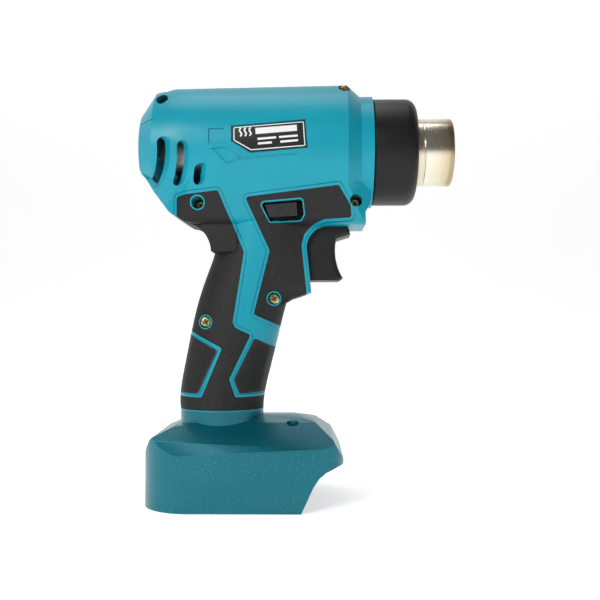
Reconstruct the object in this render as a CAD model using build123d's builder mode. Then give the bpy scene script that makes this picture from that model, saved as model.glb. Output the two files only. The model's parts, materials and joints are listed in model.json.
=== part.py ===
from build123d import *
import os
from math import cos, radians, sin

# Cordless heat gun for an 18 V slide-on battery pack.  X runs towards the nozzle, Y towards the
# tool's left side, Z up.  X is drawn from a point ahead of the handle; saving a piece moves it so
# that the origin lies on the ground under the middle of the tool.

os.makedirs("parts", exist_ok=True)

# ---------------------------------------------------------------- driving dimensions, mm
rear_x = -76.0              # flat back of the motor housing
tip_x = 79.3                # front rim of the nozzle
axis_z = 175.0              # nozzle, fan and motor axis above the ground
barrel_r = 33.6             # motor housing at its widest, just behind the front chamfer
barrel_taper = 1.6          # how much smaller the barrel is at its rear shoulder
shoulder_x = -59.3          # rear shoulder of the barrel
brow_x = 26.3               # start of the front chamfer
collar_r = 28.0             # neck behind the black sleeve
collar_back_x = 32.8
collar_x = 39.0             # front face of the collar
keel_depth = 38.4           # underside of the housing below the axis
keel_half = 20.5            # half width of that underside
wall = 3.0                  # housing wall
pad_depth = 1.5             # moulded-on rubber

sleeve_r = 26.7             # black sleeve that shields the nozzle
sleeve_front_x = 61.0
sleeve_wall = 3.0
spigot_r = 23.5             # housing spigot that the sleeve slips over
spigot_len = 7.0
nozzle_r = 17.0
nozzle_wall = 0.8
slip = 0.15                 # clearance of parts that slide together

joint_z = 45.0              # where the handle stands on the foot
foot_rear_x = -72.6
foot_front_x = 24.0
foot_half = 37.5            # half width of the foot at the ground
foot_wall = 2.8
foot_crown = 42.6           # ridge of the foot's roof
plate_z = 20.0              # underside of the rail plate
plate_t = 3.0

shaft_r = 1.15
run_fit = 0.05              # radial clearance of turning parts
motor_r = 17.5
motor_front_x = -24.0
motor_len = 38.0
shroud_rear_x = -26.0
shroud_front_x = 10.0
shroud_wall = 2.0
duct_r = 18.0               # air duct ahead of the fan
duct_wall = 1.5

trigger_half = 10.5
trigger_travel = 6.5
screw_r = 1.5
screw_seat = 9.0            # head seat off the parting plane
screw_head_r = 2.7
screw_head_h = 2.0
boss_r = 3.6

shroud_r = barrel_r - barrel_taper - wall - 0.2
duct_join_x = shroud_front_x + 10.0
spigot_x = collar_x + spigot_len
mid_x = (rear_x + tip_x) / 2


def up(x, drop):
    """A side-view point given by its drop below the nozzle axis."""
    return (x, axis_z - drop)


def low(x, rise):
    """A side-view point given by its height above the handle's foot."""
    return (x, joint_z + rise)


def save(piece, name):
    piece = piece.moved(Location((-mid_x, 0, 0)))
    piece.label = name
    export_step(piece, f"parts/{name}.step")


# ---------------------------------------------------------------- outline of the housing
barrel_outline = [
    (rear_x, -20.0), (rear_x, 19.5), (rear_x + 8.0, 30.2), (shoulder_x, barrel_r - barrel_taper),
    (brow_x, barrel_r), (collar_back_x, collar_r), (collar_x, collar_r), (collar_x, -20.0),
]
rear_top_cut = [
    up(rear_x - 5, -19.0), up(rear_x + 0.6, -19.6), up(rear_x + 8.9, -28.5),
    up(shoulder_x - 2.4, -28.5), up(shoulder_x - 0.6, -50.0), up(rear_x - 5, -50.0),
]
rear_low_cut = [
    up(rear_x - 5, 12.7), up(rear_x + 0.6, 12.7), up(rear_x + 14.5, barrel_r - 1.6),
    up(rear_x + 22.7, keel_depth - 1.3), up(rear_x + 22.7, 60.0), up(rear_x - 5, 60.0),
]
keel_side = [
    up(-68.0, 24.0), up(-61.5, 32.0), up(-53.3, keel_depth - 1.4), up(-44.0, keel_depth),
    up(35.3, keel_depth), up(35.0, keel_depth - 6.0), up(37.0, keel_depth - 9.4), up(38.8, 20.0),
    up(38.8, 4.0), up(-68.0, 4.0),
]
keel_plan = [(-69.0, 8.0), (-47.0, 30.0), (22.0, 30.0), (38.0, 17.5)]
keel_round = 8.0

# height, rear edge, front edge and half width of the handle's oval sections
grip_sections = [
    (joint_z, -57.4, -15.6, 19.0),
    (joint_z + 20, -55.9, -12.3, 18.0),
    (joint_z + 40, -52.0, -7.4, 17.4),
    (axis_z - 70, -46.9, -2.0, 17.4),
    (axis_z - 54, -41.2, 4.0, 18.2),
    (axis_z - 34, -42.0, 9.0, 20.0),
]
neck_half = 17.4
guard_half = 14.2


def outline(points):
    """A closed face through the points, on the sketch plane in use."""
    return Polygon(*points, align=None)


def inset(depth):
    if depth:
        offset(amount=-depth, kind=Kind.INTERSECTION)


def barrel(depth):
    with BuildPart() as body:
        with BuildSketch(Plane.XZ):
            outline([(x, axis_z + r) for x, r in barrel_outline])
            inset(depth)
            with Locations((0, axis_z - 50)):
                Rectangle(400, 100, mode=Mode.SUBTRACT)
        revolve(axis=Axis((0, 0, axis_z), (1, 0, 0)))
        for cut in (rear_top_cut, rear_low_cut):
            with BuildSketch(Plane.XZ):
                outline(cut)
                if depth:
                    offset(amount=depth, kind=Kind.INTERSECTION)
            extrude(amount=60, both=True, mode=Mode.SUBTRACT)
    return body.part


def keel(depth):
    """The lower half of the housing, which carries the handle."""
    inside = barrel_r - 1.5
    flank = (inside * cos(radians(30)), axis_z - inside * sin(radians(30)))
    section = [
        (keel_half, axis_z - keel_depth), flank, (flank[0], axis_z - 2), (-flank[0], axis_z - 2),
        (-flank[0], flank[1]), (-keel_half, axis_z - keel_depth),
    ]
    with BuildPart() as body:
        with BuildSketch(Plane.XZ):
            outline(keel_side)
            inset(depth)
        extrude(amount=60, both=True)
        with BuildSketch(Plane.YZ) as across:
            outline(section)
            fillet(across.vertices().group_by(Axis.Y)[0], keel_round)
            inset(depth)
        extrude(amount=120, both=True, mode=Mode.INTERSECT)
        with BuildSketch(Plane.XY.offset(axis_z - 60)) as above:
            outline(keel_plan + [(x, -y) for x, y in reversed(keel_plan)])
            fillet(above.vertices().sort_by(Axis.X)[2:6], 14)
            inset(depth)
        extrude(amount=80, mode=Mode.INTERSECT)
    return body.part


def grip(depth):
    with BuildPart() as body:
        for z, rear, front, half in grip_sections:
            with BuildSketch(Plane.XY.offset(z)):
                with Locations(((rear + front) / 2, 0)):
                    Ellipse((front - rear) / 2 - depth, half - depth)
        loft()
    return body.part


def guard(depth):
    """The finger lip and the two cheeks beside the trigger."""
    with BuildPart() as body:
        with BuildSketch(Plane.XZ):
            with BuildLine():
                Polyline(up(6.3, 49.1), up(8.7, 71.3), up(-1.2, 74.7), up(-16.0, 84.0),
                         up(-24.0, 60.0), up(-24.0, 30.0), up(16.0, 30.0), up(16.0, 38.6))
                SagittaArc(up(16.0, 38.6), up(6.3, 49.1), -2.6)
            make_face()
            if depth:
                offset(amount=-depth)
        extrude(amount=30, both=True)
        with BuildSketch(Plane.XY.offset(axis_z - 90)):
            plan = [(-40.0, neck_half), (-8.0, neck_half), (4.5, guard_half), (20.0, guard_half)]
            outline(plan + [(x, -y) for x, y in reversed(plan)])
            inset(depth)
        extrude(amount=70, mode=Mode.INTERSECT)
        with BuildSketch(Plane.YZ):
            hull = [(5.0, 79.0), (11.5, 74.0), (neck_half - 2.0, 66.0), (neck_half, 55.0),
                    (neck_half, 25.0)]
            outline([up(y, z) for y, z in hull] + [up(-y, z) for y, z in reversed(hull)])
            inset(depth)
        extrude(amount=120, both=True, mode=Mode.INTERSECT)
    return body.part


def root_web(depth):
    """Fills the corner where the back of the handle runs out under the housing."""
    start, end = up(-53.3, keel_depth - 1.4), up(-40.6, keel_depth + 13.0)
    with BuildPart() as body:
        with BuildSketch(Plane.XZ):
            with BuildLine():
                Polyline(end, up(-28.0, keel_depth + 13.0), up(-28.0, 28.0), up(-53.3, 28.0), start)
                SagittaArc(start, end, 3.4)
            make_face()
            if depth:
                offset(amount=-depth)
        extrude(amount=30, both=True)
        with BuildSketch(Plane.XY.offset(axis_z - 70)) as above:
            with Locations((-40.0, 0)):
                Rectangle(30, 34)
            fillet(above.vertices().group_by(Axis.X)[0], 14)
            inset(depth)
        extrude(amount=50, mode=Mode.INTERSECT)
    return body.part


def envelope(depth):
    """The whole housing, moved inwards by a depth."""
    with BuildPart() as body:
        add(barrel(depth))
        add(keel(depth))
        add(grip(depth))
        add(guard(depth))
        add(root_web(depth))
    return body.part


def side_prism(points, reach=60):
    """A prism across the tool over a side-view outline."""
    with BuildPart() as body:
        with BuildSketch(Plane.XZ):
            outline(points)
        extrude(amount=reach, both=True)
    return body.part



outer = envelope(0)
bed = envelope(pad_depth)
skin = outer - bed
cavity = envelope(wall)
half_plane = Plane.XZ          # its normal points to the tool's right side

# ---------------------------------------------------------------- rubber grips
rear_grip_region = [
    up(-57.0, 25.2), up(-36.4, 22.7), up(-24.3, 51.9), low(-29.8, 43.6), low(-28.6, 41.1),
    low(-21.1, 37.5), low(-31.4, 16.0), low(-28.4, 7.0), low(0.0, 7.4),
    low(0.0, 0.6), low(-70.0, 0.6), low(-70.0, 7.0), low(-45.0, 7.0), low(-35.0, 31.0),
    low(-53.0, 40.0), low(-70.0, 41.0), up(-70.0, 48.0), up(-57.0, 36.0),
]
front_grip_region = [
    up(-23.4, 25.9), up(21.8, 20.4), up(27.6, 29.7), up(28.2, 35.4),
    up(15.0, 36.2), up(9.0, 38.6), up(5.2, 43.0), up(3.8, 48.5), up(6.2, 70.5), up(6.4, 80.0),
    low(4.0, 41.7), low(-6.7, 41.7), low(-19.7, 47.6), up(-11.7, 51.3),
]
rear_pad_region = [
    low(-70.0, 39.0), low(-53.0, 38.0), low(-37.2, 30.0), low(-46.7, 8.8), low(-70.0, 8.8),
]
front_pad_region = [
    low(-19.3, 36.0), low(-9.0, 31.1), low(8.0, 30.0), low(8.0, 9.6), low(-14.7, 9.2),
    low(-26.5, 8.8), low(-29.2, 15.6),
]
selector_hole = [
    up(-16.0, 28.5), up(4.2, 26.8), up(5.0, 34.0), up(3.5, 36.6), up(-11.5, 37.3),
]
selector_rim_t = 0.6
corner_r = 1.3
groove_off = 1.3                # fine line moulded round each rubber panel
groove_t = 0.35
groove_depth = 0.4
grip_regions = {
    "rear_grip": rear_grip_region, "front_grip": front_grip_region,
    "rear_pad": rear_pad_region, "front_pad": front_pad_region,
}
screw_places = [up(-46.4, 28.4), low(-43.7, 43.8), up(-9.8, 74.6), up(30.3, 27.4),
                up(-64.1, -22.5), up(25.0, -29.2)]
ringed_places = screw_places[:3]      # bosses that show as a ring in the rubber
ring_r = 3.6

with BuildPart() as ring_tool:
    with BuildSketch(Plane.XZ):
        with Locations(*ringed_places):
            Circle(ring_r)
    extrude(amount=60, both=True)


def rounded_prism(points, grow=0.0):
    """A side prism with softened corners, its outline moved outwards."""
    with BuildPart() as body:
        with BuildSketch(Plane.XZ) as side:
            outline(points)
            fillet(side.vertices(), corner_r)
            if grow:
                offset(amount=grow)
        extrude(amount=60, both=True)
    return body.part


rim_tool = rounded_prism(selector_hole, selector_rim_t)
rubber = {}
lines = []
for name, region in grip_regions.items():
    rubber[name] = (skin & rounded_prism(region)) - ring_tool.part - rim_tool
    if name.endswith("grip"):
        lines.append(rounded_prism(region, groove_off + groove_t) - rounded_prism(region, groove_off))

# ---------------------------------------------------------------- nameplates
plate_points = [up(-29.0, -6.4), up(5.5, -9.4), up(6.5, 3.5), up(-20.3, 5.7), up(-28.8, 0.5)]
plate_recess = 0.8
plate_sunk = 0.2                 # face of the nameplate below the housing
plate_margin = 0.5
with BuildPart() as plate_tool:
    with BuildSketch(Plane.XZ):
        outline(plate_points)
    extrude(amount=60, both=True)
with BuildPart() as recess_tool:
    with BuildSketch(Plane.XZ):
        outline(plate_points)
        offset(amount=plate_margin)
    extrude(amount=60, both=True)
recess_floor = barrel(plate_recess)
pockets = [
    ([up(-40.2, -5.6), up(-32.9, -5.8), up(-32.9, 1.5), up(-40.2, 1.5)], 0.7),
    ([up(-38.8, 3.8), up(-32.3, 3.4), up(-25.4, 7.3), up(-28.0, 10.0), up(-31.5, 11.0)], 0.7),
    ([up(-26.4, 9.3), up(2.0, 6.9), up(2.0, 6.4), up(-24.9, 7.8)], 0.35),
    ([up(rear_x - 2, -10.9), up(-66.5, -11.2), up(-66.5, -10.8), up(rear_x - 2, -10.5)], 0.4),
]
nameplates = (barrel(plate_sunk) - recess_floor) & plate_tool.part

# ---------------------------------------------------------------- housing halves
vent_width = 5.4
vent_slots = [(up(-62.8, -2.0), up(-61.1, 21.0)), (up(-54.0, 0.0), up(-52.0, 20.4)),
              (up(-43.9, 10.4), up(-42.9, 20.3))]
vent_slant = 0.8
trigger_hole = [up(4.0, 38.9), up(20.0, 38.9), up(20.0, 65.9), up(-2.0, 65.9), up(-2.0, 38.9)]
trigger_hole_half = trigger_half + 0.4
head_clear = 0.3

with BuildPart() as shell:
    add(outer)
    add(cavity, mode=Mode.SUBTRACT)
    for piece in rubber.values():
        add(piece, mode=Mode.SUBTRACT)
    # nameplate recess, the pockets behind it and the lines round the rubber
    add(recess_tool.part - recess_floor, mode=Mode.SUBTRACT)
    for points, depth in pockets:
        add(side_prism(points) - barrel(depth), mode=Mode.SUBTRACT)
    line_bed = envelope(groove_depth)
    for line in lines:
        add((outer - line_bed) & line, mode=Mode.SUBTRACT)
    # collar bore, and the spigot for the sleeve
    with BuildSketch(Plane.YZ.offset(collar_x - 0.5)):
        with Locations((0, axis_z)):
            Circle(spigot_r)
    extrude(amount=spigot_len + 0.5)
    with BuildSketch(Plane.YZ.offset(collar_x - wall - 2)):
        with Locations((0, axis_z)):
            Circle(spigot_r - wall)
    extrude(amount=spigot_len + wall + 3, mode=Mode.SUBTRACT)
    # radial ribs that cradle the motor, then ring ribs that hold the blower
    for x in (motor_front_x - motor_len + 3, motor_front_x - 12):
        with BuildSketch(Plane.YZ.offset(x)):
            with Locations((0, axis_z)):
                with PolarLocations((motor_r + shroud_r) / 2 + 0.5, 4, start_angle=45):
                    Rectangle(shroud_r - motor_r + 1.5, 3.0)
                Circle(motor_r, mode=Mode.SUBTRACT)
        extrude(amount=2)
    for x in (shroud_rear_x + 6, shroud_front_x - 6):
        with BuildSketch(Plane.YZ.offset(x)):
            with Locations((0, axis_z)):
                Circle(shroud_r + 1.2)
                Circle(shroud_r, mode=Mode.SUBTRACT)
        extrude(amount=2)

with BuildPart() as boss_tool:
    with BuildSketch(Plane.XZ):
        with Locations(*screw_places):
            Circle(boss_r)
    extrude(amount=60, both=True)
with BuildPart() as head_tool:
    with BuildSketch(Plane.XZ.offset(screw_seat)):
        with Locations(*screw_places):
            Circle(screw_head_r + head_clear)
    extrude(amount=60)
with BuildPart() as shank_tool:
    with BuildSketch(Plane.XZ.offset(-screw_seat - 0.5)):
        with Locations(*screw_places):
            Circle(screw_r)
    extrude(amount=2 * screw_seat + 1)
with BuildPart() as vent_tool:
    for top, bottom in vent_slots:
        with BuildSketch(Plane.XZ.offset(12)):
            SlotCenterPoint(((top[0] + bottom[0]) / 2 - vent_slant * 18, (top[1] + bottom[1]) / 2),
                            (bottom[0] - vent_slant * 18, bottom[1] + vent_width / 2), vent_width)
        extrude(amount=32, dir=(vent_slant, -1, 0))
    mirror(about=Plane.XZ)
with BuildPart() as trigger_mouth:
    with BuildSketch(Plane.XZ):
        outline(trigger_hole)
    extrude(amount=trigger_hole_half, both=True)

bosses = boss_tool.part & bed
selector_tool = rounded_prism(selector_hole)
shell_whole = (shell.part + bosses) - head_tool.part - shank_tool.part - vent_tool.part
shell_whole = shell_whole - trigger_mouth.part - selector_tool
shell_whole = shell_whole.solids().sort_by(SortBy.VOLUME)[-1]


def save_halves(whole, name):
    """The right half lies on the -Y side of the parting plane."""
    for side, keep in (("right", Keep.TOP), ("left", Keep.BOTTOM)):
        with BuildPart() as half:
            add(whole)
            split(bisect_by=half_plane, keep=keep)
        save(half.part, f"{name}_{side}")


save_halves(shell_whole, "housing")
save_halves(nameplates, "nameplate")
for name, piece in rubber.items():
    save_halves(piece, name)

# ---------------------------------------------------------------- fasteners
def screw_group(places, plane, length, radius, head_r, head_h):
    """Pan-head screws standing on a plane, shanks going in behind it."""
    with BuildPart() as group:
        with BuildSketch(plane):
            with Locations(*places):
                Circle(head_r)
        extrude(amount=head_h)
        fillet(group.edges().group_by(Axis(plane.origin, plane.z_dir))[-1], head_h * 0.45)
        with BuildSketch(plane):
            with Locations(*places):
                Circle(radius)
        extrude(amount=-length)
        with BuildSketch(plane.offset(head_h)):
            with Locations(*places):
                Rectangle(head_r * 1.3, 0.6)
                Rectangle(0.6, head_r * 1.3)
        extrude(amount=-head_h * 0.55, mode=Mode.SUBTRACT)
    return group.part


save(screw_group(screw_places, Plane.XZ.offset(screw_seat), 2 * screw_seat, screw_r, screw_head_r,
                 screw_head_h), "housing_screws")

# ---------------------------------------------------------------- nozzle and sleeve
def tube(x0, x1, r_out, r_in):
    """A ring about the nozzle axis, added to the part in hand."""
    with BuildPart() as ring:
        with BuildSketch(Plane.YZ.offset(x0)):
            with Locations((0, axis_z)):
                Circle(r_out)
                if r_in:
                    Circle(r_in, mode=Mode.SUBTRACT)
        extrude(amount=x1 - x0)
    return ring.part


def turned(points):
    """A solid turned about the nozzle axis from (x, radius) points."""
    with BuildPart() as body:
        with BuildSketch(Plane.XZ):
            outline([(x, axis_z + r) for x, r in points])
        revolve(axis=Axis((0, 0, axis_z), (1, 0, 0)))
    return body.part


sleeve_back_x = collar_x + 0.3
flange_t = 1.0
flange_r = spigot_r - 0.3
sleeve_bore = spigot_r + slip
sleeve_step_r = flange_r - 1.2
with BuildPart() as sleeve:
    with BuildSketch(Plane.XZ):
        outline([(sleeve_back_x, axis_z + sleeve_bore), (sleeve_back_x, axis_z + sleeve_r),
                 (sleeve_front_x, axis_z + sleeve_r), (sleeve_front_x, axis_z + nozzle_r + slip),
                 (sleeve_front_x - sleeve_wall, axis_z + nozzle_r + slip),
                 (sleeve_front_x - sleeve_wall, axis_z + sleeve_step_r),
                 (spigot_x + flange_t, axis_z + sleeve_step_r),
                 (spigot_x + flange_t, axis_z + sleeve_bore)])
    revolve(axis=Axis((0, 0, axis_z), (1, 0, 0)))
    rim = sleeve.edges().filter_by(GeomType.CIRCLE).filter_by(
        lambda edge: abs(edge.radius - sleeve_r) < 0.01)
    fillet(rim.sort_by(Axis.X)[-1], sleeve_wall + 2.4)
    fillet(rim.sort_by(Axis.X)[0], 0.8)
save(sleeve.part, "front_sleeve")

rim_x = tip_x - 1.0
groove_x = 64.6
save(turned([(spigot_x, nozzle_r - nozzle_wall), (spigot_x, flange_r), (spigot_x + flange_t, flange_r),
             (spigot_x + flange_t, nozzle_r), (groove_x - 0.5, nozzle_r), (groove_x - 0.3, nozzle_r - 0.3),
             (groove_x + 0.3, nozzle_r - 0.3), (groove_x + 0.5, nozzle_r), (tip_x - 1.2, nozzle_r),
             (tip_x - 0.4, nozzle_r - 0.35), (tip_x, nozzle_r - 1.1), (tip_x - 0.2, nozzle_r - 1.9),
             (tip_x - 1.4, nozzle_r - nozzle_wall)]), "nozzle_tube")

# ---------------------------------------------------------------- heater
mica_r = nozzle_r - nozzle_wall - 0.5
mica_t = 0.5
heater_back_x = 42.0
heater_front_x = 74.0
coil_r = 10.6
wire_r = 0.5
coil_back_x = heater_back_x + 5.0
coil_turns = 8
coil_pitch = 2.7
card_t = 0.6
disc_back_x = heater_back_x - 3.5
duct_front_x = disc_back_x - 0.5

save(tube(heater_back_x, heater_front_x, mica_r, mica_r - mica_t), "heater_tube")


def mica_card(slot_from, slot_to):
    """A winged card that carries the coil; two slotted cards cross on the axis."""
    wing = mica_r - mica_t - 0.1
    back, front = heater_back_x, heater_front_x - 2.0
    coil_front = coil_back_x + coil_turns * coil_pitch + 1.5
    with BuildPart() as card:
        with BuildSketch(Plane.XZ):
            with Locations(((back + front) / 2, axis_z)):
                Rectangle(front - back, 2 * (coil_r - wire_r - 0.05))
            with Locations(((back + coil_back_x - 1.5) / 2, axis_z)):
                Rectangle(coil_back_x - 1.5 - back, 2 * wing)
            with Locations(((coil_front + front) / 2, axis_z)):
                Rectangle(front - coil_front, 2 * wing)
            with Locations(((slot_from + slot_to) / 2, axis_z)):
                Rectangle(slot_to - slot_from, card_t + 0.1, mode=Mode.SUBTRACT)
        extrude(amount=card_t / 2, both=True)
    return card.part


card_middle = (heater_back_x + heater_front_x) / 2 - 1.0
save(mica_card(card_middle, heater_front_x), "mica_card_upright")
save(mica_card(heater_back_x - 1, card_middle).rotate(Axis((0, 0, axis_z), (1, 0, 0)), 90),
     "mica_card_flat")

with BuildPart() as coil:
    with BuildLine():
        turn = Helix(coil_pitch, coil_pitch * coil_turns, coil_r, center=(coil_back_x, 0, axis_z),
                     direction=(1, 0, 0))
    with BuildSketch(Plane(origin=turn @ 0, z_dir=turn % 0)):
        Circle(wire_r)
    sweep(is_frenet=True)
save(coil.part, "heater_coil")

with BuildPart() as disc:
    add(tube(disc_back_x, heater_back_x, spigot_r - wall - 0.1, 4.0))
    with BuildSketch(Plane.YZ.offset(disc_back_x)):
        with Locations((0, axis_z)):
            with PolarLocations(10.0, 8, start_angle=22.5):
                Circle(2.6)
    extrude(amount=heater_back_x - disc_back_x, mode=Mode.SUBTRACT)
save(disc.part, "heater_disc")

with BuildPart() as cutout:
    with BuildSketch(Plane.YZ.offset(disc_back_x - 9)):
        with Locations((0, axis_z + 7.0)):
            Circle(2.6)
    extrude(amount=9)
save(cutout.part, "thermal_cutout")

# ---------------------------------------------------------------- blower
save(turned([(shroud_front_x, shroud_r - shroud_wall), (shroud_front_x, shroud_r),
             (duct_join_x, duct_r), (duct_front_x, duct_r), (duct_front_x, duct_r - duct_wall),
             (duct_join_x, duct_r - duct_wall), (shroud_front_x + 1.5, shroud_r - shroud_wall)]),
     "air_duct")

plate_x = motor_front_x
plate_thick = 3.0
with BuildPart() as shroud:
    add(tube(shroud_rear_x, shroud_front_x, shroud_r, shroud_r - shroud_wall))
    with BuildSketch(Plane.YZ.offset(plate_x)):
        with Locations((0, axis_z)):
            Circle(motor_r + 1)
            with PolarLocations((motor_r + shroud_r) / 2, 4, start_angle=45):
                Rectangle(shroud_r - motor_r - 0.6, 4)
    extrude(amount=plate_thick)
    with BuildSketch(Plane.YZ.offset(plate_x)):
        with Locations((0, axis_z)):
            Circle(4.0)
        with Locations((8, axis_z), (-8, axis_z)):
            Circle(screw_r)
    extrude(amount=plate_thick, mode=Mode.SUBTRACT)
save(shroud.part, "blower_shroud")

fan_r = shroud_r - shroud_wall - 1.0
fan_x = -13.0
hub_r = 7.5
hub_half = 6.0
with BuildPart() as fan:
    with BuildSketch(Plane.YZ.offset(fan_x - hub_half)):
        with Locations((0, axis_z)):
            Circle(hub_r)
    extrude(amount=2 * hub_half)
    fillet(fan.edges().sort_by(Axis.X)[-1], 3)
    for k in range(9):
        spot = Plane.YZ.offset(fan_x).location * Pos(0, axis_z, 0) * Rot(0, 0, 40 * k)
        blade = spot * Pos((hub_r + fan_r) / 2 - 0.5, 0, 0) * Rot(35, 0, 0) * Box(
            fan_r - hub_r + 0.2, 1.2, 11.0, mode=Mode.PRIVATE)
        add(blade)
    with BuildSketch(Plane.YZ.offset(fan_x - hub_half)):
        with Locations((0, axis_z)):
            Circle(shaft_r)
    extrude(amount=hub_half + 2, mode=Mode.SUBTRACT)
save(fan.part, "fan")

motor_back_x = motor_front_x - motor_len
cap_len = 4.0
shaft_back_x = motor_back_x - cap_len + 1.0
save(tube(shaft_back_x, fan_x + 2.0, shaft_r, 0), "motor_shaft")
save(tube(motor_back_x + 6, motor_front_x - 5, motor_r - 4.5, shaft_r), "motor_armature")
with BuildPart() as can:
    add(turned([(motor_back_x, motor_r - 1.0), (motor_back_x, motor_r), (motor_front_x, motor_r),
                (motor_front_x, shaft_r + run_fit), (motor_front_x - 2.5, shaft_r + run_fit),
                (motor_front_x - 2.5, motor_r - 1.0)]))
    with BuildSketch(Plane.YZ.offset(motor_front_x - 2.5)):
        with Locations((8, axis_z), (-8, axis_z)):
            Circle(screw_r)
    extrude(amount=2.5, mode=Mode.SUBTRACT)
save(can.part, "motor_can")
with BuildPart() as magnets:
    add(tube(motor_back_x + 5, motor_front_x - 4, motor_r - 1.0, motor_r - 3.6))
    with BuildSketch(Plane.XZ.offset(30)):
        with Locations((motor_front_x - motor_len / 2, axis_z)):
            Rectangle(motor_len, 8)
    extrude(amount=-60, mode=Mode.SUBTRACT)
save(magnets.part, "motor_magnets")
with BuildPart() as cap:
    add(turned([(motor_back_x - cap_len, shaft_r + run_fit), (motor_back_x - cap_len, motor_r - 3),
                (motor_back_x - 1, motor_r), (motor_back_x, motor_r), (motor_back_x, motor_r - 1.0),
                (motor_back_x + 2, motor_r - 1.0), (motor_back_x + 2, shaft_r + run_fit)]))
save(cap.part, "motor_end_cap")
with BuildPart() as motor_screws:
    with BuildSketch(Plane.YZ.offset(plate_x + plate_thick)):
        with Locations((8, axis_z), (-8, axis_z)):
            Circle(2.6)
    extrude(amount=1.5)
    with BuildSketch(Plane.YZ.offset(plate_x + plate_thick)):
        with Locations((8, axis_z), (-8, axis_z)):
            Circle(screw_r)
    extrude(amount=-plate_thick - 2.4)
save(motor_screws.part, "motor_screws")

# ---------------------------------------------------------------- trigger and switch
trigger_back_x = 6.0
trigger_top = axis_z - 39.3
trigger_bottom = axis_z - 65.5
trigger_wall = 2.0
switch_front_x = -1.4
switch_half = 8.5
plunger_half = 3.0
with BuildPart() as trigger:
    with BuildSketch(Plane.XZ):
        with BuildLine():
            Polyline((21.2, trigger_top - 5.4), (28.2, trigger_top - 3.2), (27.4, trigger_top),
                     (trigger_back_x, trigger_top), (trigger_back_x, trigger_bottom),
                     (22.6, trigger_bottom), (24.4, trigger_bottom + 1.2))
            RadiusArc((24.4, trigger_bottom + 1.2), (21.2, trigger_top - 5.4), 26)
        make_face()
    extrude(amount=trigger_half, both=True)
    front = trigger.edges().filter_by(lambda edge: edge.center().X > 20 and abs(edge.center().Y) > 9)
    fillet(front, 2.2)
    with BuildSketch(Plane.YZ.offset(trigger_back_x)):
        with Locations((0, (trigger_top + trigger_bottom) / 2)):
            Rectangle(2 * (trigger_half - trigger_wall),
                      trigger_top - trigger_bottom - 2 * trigger_wall)
    extrude(amount=10, mode=Mode.SUBTRACT)
save(trigger.part, "trigger")

plunger_z = axis_z - 50.0
seat_x = trigger_back_x + 10.0
plunger_in = 6.0
with BuildPart() as plunger:
    with BuildSketch(Plane.YZ.offset(switch_front_x - plunger_in)):
        with Locations((0, plunger_z)):
            Circle(plunger_half)
    extrude(amount=seat_x - switch_front_x + plunger_in)
save(plunger.part, "switch_plunger")

switch_len = 22.0
switch_top = axis_z - 42.5
switch_height = 24.0
with BuildPart() as switch:
    with BuildSketch(Plane.XZ.offset(switch_half)):
        outline([(switch_front_x, switch_top), (switch_front_x, switch_top - switch_height),
                 (switch_front_x - switch_len, switch_top - switch_height),
                 (switch_front_x - switch_len, switch_top)])
    extrude(amount=-2 * switch_half)
    chamfer(switch.edges().filter_by(Axis.Y), 1.2)
    with BuildSketch(Plane.YZ.offset(switch_front_x)):
        with Locations((0, plunger_z)):
            Circle(plunger_half + 0.3)
    extrude(amount=-plunger_in - trigger_travel - 1, mode=Mode.SUBTRACT)
save(switch.part, "switch_body")

spring_r = plunger_half + 1.6
spring_wire = 0.45
spring_turns = 6
spring_len = seat_x - switch_front_x - 2 * spring_wire - 0.2
with BuildPart() as spring:
    with BuildLine():
        winding = Helix(spring_len / spring_turns, spring_len, spring_r,
                        center=(switch_front_x + spring_wire + 0.1, 0, plunger_z),
                        direction=(1, 0, 0))
    with BuildSketch(Plane(origin=winding @ 0, z_dir=winding % 0)):
        Circle(spring_wire)
    sweep(is_frenet=True)
save(spring.part, "trigger_spring")

# ---------------------------------------------------------------- selector bar
block_end = 22.0                 # outer face of the selector off the parting plane
block_inner = 15.0
with BuildPart() as selector:
    for side in (1, -1):
        with BuildSketch(Plane.XZ.offset(side * block_inner)):
            outline([up(-13.9, 29.3), up(1.6, 28.0), up(2.0, 34.6), up(-11.7, 35.4)])
        extrude(amount=side * (block_end - block_inner))
    with BuildSketch(Plane.XZ.offset(block_inner)):
        outline([up(-11.4, 31.5), up(-7.4, 31.5), up(-7.4, 34.4), up(-11.4, 34.4)])
    extrude(amount=-2 * block_inner)
save(selector.part, "selector_bar")

# ---------------------------------------------------------------- electronics in the handle
# plates behind the selector's openings
guide_in, guide_out = 10.6, 12.0
with BuildPart() as guide:
    for side in (1, -1):
        with BuildSketch(Plane.XZ.offset(side * guide_in)):
            outline([up(-17.6, 27.2), up(9.0, 27.2), up(9.0, keel_depth - wall - 0.1),
                     up(-17.6, keel_depth - wall - 0.1)])
            with Locations(up(-9.4, 32.95)):
                Rectangle(4.6, 3.5, mode=Mode.SUBTRACT)
        extrude(amount=side * (guide_out - guide_in))
save(guide.part, "selector_guide")

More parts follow.
